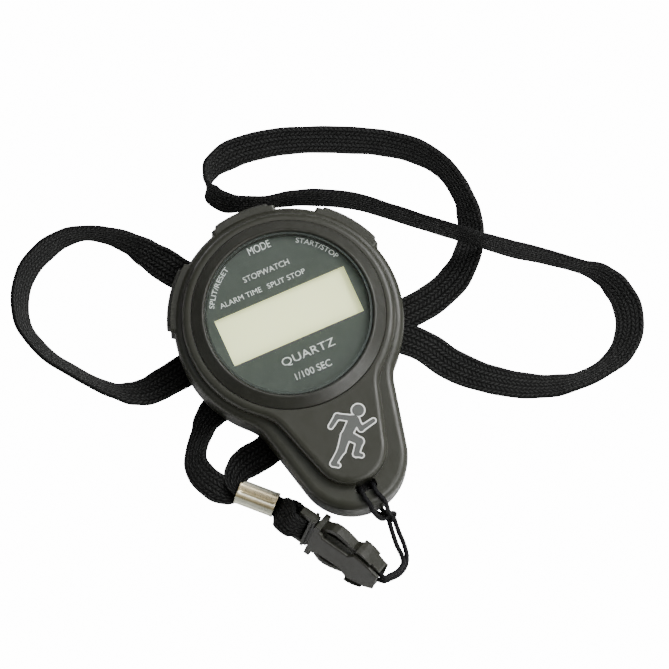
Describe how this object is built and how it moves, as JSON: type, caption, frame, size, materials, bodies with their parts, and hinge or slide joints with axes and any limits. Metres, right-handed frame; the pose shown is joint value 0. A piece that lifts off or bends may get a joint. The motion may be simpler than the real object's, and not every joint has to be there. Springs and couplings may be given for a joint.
{
  "type": "digital sports stopwatch",
  "caption": "Hand-held digital sports stopwatch with a round case, tapered tail, edge buttons, blank display and a quick-release neck strap lying in loops.",
  "frame": {"origin": "centre axis of the round case, in the plane of the case back", "axes": "+Z out of the dial, +Y towards the mode button, -Y towards the tail with the lanyard slot, +X towards the start/stop button"},
  "size_m": [0.1586, 0.1311, 0.0213],
  "materials": {
    "shell": "fine satin moulded",
    "bezel": "fine spark-textured",
    "lens": "clear polished acrylic",
    "dial_print": "matt print",
    "lcd_glass": "polarised display glass",
    "reflector": "matt reflector film",
    "frame_plastic": "moulded",
    "zebra": "striped conductive rubber",
    "board": "solder mask",
    "epoxy": "potting",
    "can_metal": "drawn can",
    "cell_steel": "plated",
    "contact_metal": "plated spring metal",
    "buzzer_brass": "lapped",
    "screw_steel": "zinc plated",
    "button_plastic": "ribbed satin",
    "buckle_plastic": "satin moulded",
    "nickel": "pale nickel",
    "webbing": "flat braid"
  },
  "bodies": {
    "case": {"back_shell": "shell", "battery": "cell_steel", "battery_clip_positive": "contact_metal", "battery_spring_negative": "contact_metal", "bezel_ring": "bezel", "board_screws": "screw_steel", "buckle_housing": "buckle_plastic", "buzzer_disc": "buzzer_brass", "buzzer_spring": "contact_metal", "case_screws": "screw_steel", "chip_components": "epoxy", "chip_encapsulation": "epoxy", "circuit_board": "board", "dial_plate": "dial_print", "front_shell": "shell", "lanyard_cord": "webbing", "lcd_frame": "frame_plastic", "lcd_front_glass": "lcd_glass", "lcd_rear_glass": "lcd_glass", "lcd_reflector": "reflector", "lens": "lens", "mode_contact_leaf": "contact_metal", "quartz_crystal": "can_metal", "split_reset_contact_leaf": "contact_metal", "start_stop_contact_leaf": "contact_metal", "zebra_strip_lower": "zebra", "zebra_strip_upper": "zebra"},
    "mode_button": {"mode_button": "button_plastic"},
    "start_stop_button": {"start_stop_button": "button_plastic"},
    "split_reset_button": {"split_reset_button": "button_plastic"},
    "strap_half": {"buckle_male_half": "buckle_plastic", "crimp_ferrule": "nickel", "lanyard_strap": "webbing"},
    "release_arm_upper": {"buckle_arm_upper": "buckle_plastic"},
    "release_arm_lower": {"buckle_arm_lower": "buckle_plastic"}
  },
  "joints": [
    {"name": "mode_press", "type": "slide", "parent": "case", "child": "mode_button", "axis": [0, -1, 0], "range_m": [0, 0.001], "stiffness_N_per_m": 10, "springref_m": -0.0003, "deforming": ["mode_contact_leaf"]},
    {"name": "start_stop_press", "type": "slide", "parent": "case", "child": "start_stop_button", "axis": [-0.8192, -0.5736, 0], "range_m": [0, 0.001], "stiffness_N_per_m": 10, "springref_m": -0.0003, "deforming": ["start_stop_contact_leaf"]},
    {"name": "split_reset_press", "type": "slide", "parent": "case", "child": "split_reset_button", "axis": [0.8192, -0.5736, 0], "range_m": [0, 0.001], "stiffness_N_per_m": 10, "springref_m": -0.0003, "deforming": ["split_reset_contact_leaf"]},
    {"name": "buckle_release", "type": "slide", "parent": "case", "child": "strap_half", "axis": [-0.5163, 0.8564, 0], "range_m": [0, 0.022], "deforming": ["buckle_arm_upper", "buckle_arm_lower"]},
    {"name": "squeeze_upper", "type": "hinge", "parent": "strap_half", "child": "release_arm_upper", "pos_m": [-0.01509, -0.05474, 0.00774], "axis": [-0.7417, -0.4471, 0.5], "range_deg": [-3, 0]},
    {"name": "squeeze_lower", "type": "hinge", "parent": "strap_half", "child": "release_arm_lower", "pos_m": [-0.01864, -0.05688, 0.00056], "axis": [-0.7417, -0.4471, 0.5], "range_deg": [0, 3]}
  ],
  "couplings": [
    {"joint": "squeeze_lower", "follows": "squeeze_upper", "ratio": -1}
  ]
}
